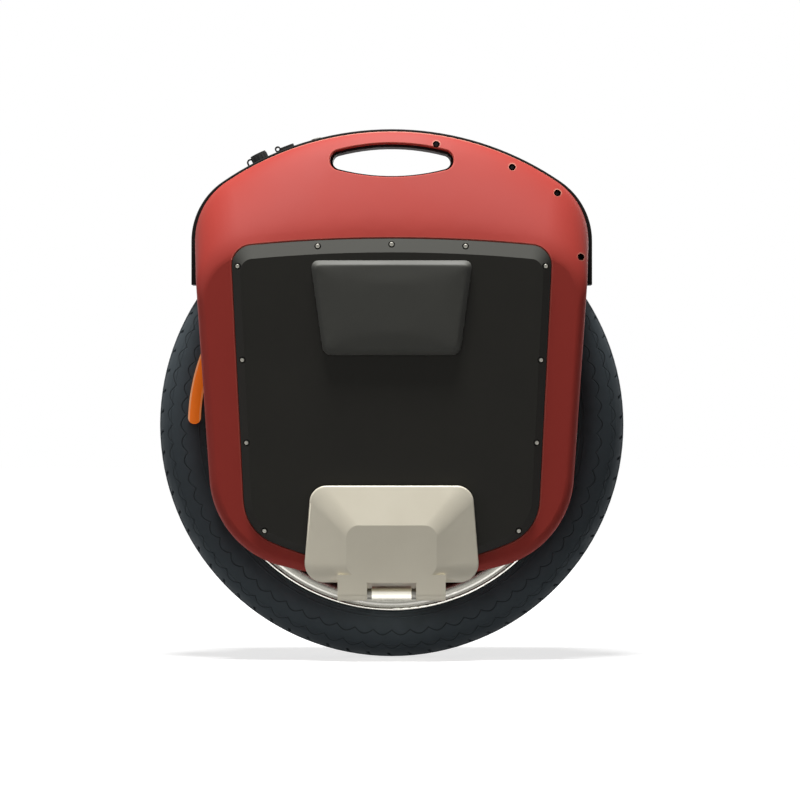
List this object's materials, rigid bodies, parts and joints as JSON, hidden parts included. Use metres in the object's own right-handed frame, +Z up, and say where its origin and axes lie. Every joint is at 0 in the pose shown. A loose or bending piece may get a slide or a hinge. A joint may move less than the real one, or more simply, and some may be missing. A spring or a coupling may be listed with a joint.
{
  "type": "electric unicycle",
  "caption": "Self-balancing electric unicycle: a hub motor wheel between two moulded half shells with a carry handle, side covers, leg pads and folding pedals.",
  "frame": {"origin": "on the ground below the middle of the axle, where the tyre stands", "axes": "+X forward as it rides, +Y to the rider's left along the axle, +Z up"},
  "size_m": [0.468, 0.212, 0.5311],
  "materials": {
    "red_shell": "moulded shell in satin red paint",
    "black_cover": "moulded cover in matt black",
    "black_spine": "moulded spine in matt black",
    "pad_foam": "moulded foam with a fine skin",
    "cast_aluminium": "cast, bead blasted and lacquered",
    "steel": "turned, bright",
    "black_steel": "black oxide screws",
    "rim_aluminium": "cast, machined on the flanges",
    "motor_black": "black painted casting",
    "tyre_rubber": "moulded black rubber",
    "black_rubber": "moulded soft rubber",
    "label_orange": "plain orange film",
    "lamination": "stamped steel stack",
    "copper": "enamelled copper wire",
    "magnet": "nickel plated magnets",
    "battery_wrap": "blue shrink wrap over cells",
    "socket_plastic": "moulded black connector",
    "button_plastic": "moulded pale grey",
    "clear_lens": "clear lens",
    "red_lens": "red lens",
    "lamp_tray": "white moulded reflector",
    "circuit_board": "green solder resist",
    "sink_aluminium": "extruded",
    "capacitor_sleeve": "sleeved cans"
  },
  "bodies": {
    "chassis": {"right_shell": "red_shell", "left_shell": "red_shell", "right_side_cover": "black_cover", "left_side_cover": "black_cover", "right_leg_pad": "pad_foam", "left_leg_pad": "pad_foam", "right_cover_screws": "steel", "left_cover_screws": "steel", "right_pedal_hanger": "cast_aluminium", "left_pedal_hanger": "cast_aluminium", "right_hinge_pin": "steel", "left_hinge_pin": "steel", "right_hinge_washers": "steel", "left_hinge_washers": "steel", "right_battery_packs": "battery_wrap", "left_battery_packs": "battery_wrap", "top_spine": "black_spine", "shell_screws": "black_steel", "hanger_bolts": "steel", "axle": "steel", "axle_washers": "steel", "axle_nuts": "steel", "stator_spider": "rim_aluminium", "stator_core": "lamination", "stator_windings": "copper", "button_bezel": "black_spine", "charge_socket": "socket_plastic", "usb_socket": "socket_plastic", "head_light_lens": "clear_lens", "head_light_housing": "lamp_tray", "tail_light_lens": "red_lens", "tail_light_housing": "lamp_tray", "heat_sink": "sink_aluminium", "control_board": "circuit_board", "capacitors": "capacitor_sleeve", "motor_cable": "black_rubber"},
    "wheel": {"tyre": "tyre_rubber", "inner_tube": "black_rubber", "rim": "rim_aluminium", "rotor_magnets": "magnet", "right_motor_cover": "motor_black", "left_motor_cover": "motor_black", "right_bearing": "steel", "left_bearing": "steel", "motor_cover_screws": "steel", "valve_stem": "rim_aluminium", "valve_cap": "black_rubber", "sidewall_label": "label_orange"},
    "right_pedal": {"right_pedal": "cast_aluminium", "right_pedal_mat": "black_rubber"},
    "left_pedal": {"left_pedal": "cast_aluminium", "left_pedal_mat": "black_rubber"},
    "power_button": {"power_button": "button_plastic"},
    "charge_cap": {"charge_cap": "black_rubber"},
    "usb_flap": {"usb_flap": "black_rubber"}
  },
  "joints": [
    {"name": "wheel_spin", "type": "hinge", "parent": "chassis", "child": "wheel", "pos_m": [0, 0, 0.234], "axis": [0, 1, 0], "continuous": true},
    {"name": "right_pedal_fold", "type": "hinge", "parent": "chassis", "child": "right_pedal", "pos_m": [0, -0.092, 0.067], "axis": [1, 0, 0], "range_deg": [0, 84]},
    {"name": "left_pedal_fold", "type": "hinge", "parent": "chassis", "child": "left_pedal", "pos_m": [0, 0.092, 0.067], "axis": [-1, 0, 0], "range_deg": [0, 84]},
    {"name": "power_button_press", "type": "slide", "parent": "chassis", "child": "power_button", "axis": [0.2533, 0, -0.9674], "range_m": [0, 0.0012], "stiffness_N_per_m": 800},
    {"name": "charge_cap_pull", "type": "slide", "parent": "chassis", "child": "charge_cap", "axis": [-0.44, 0, 0.898], "range_m": [0, 0.012]},
    {"name": "usb_flap_open", "type": "hinge", "parent": "chassis", "child": "usb_flap", "pos_m": [-0.1151, 0, 0.51182], "axis": [0, -1, 0], "range_deg": [0, 100]}
  ]
}
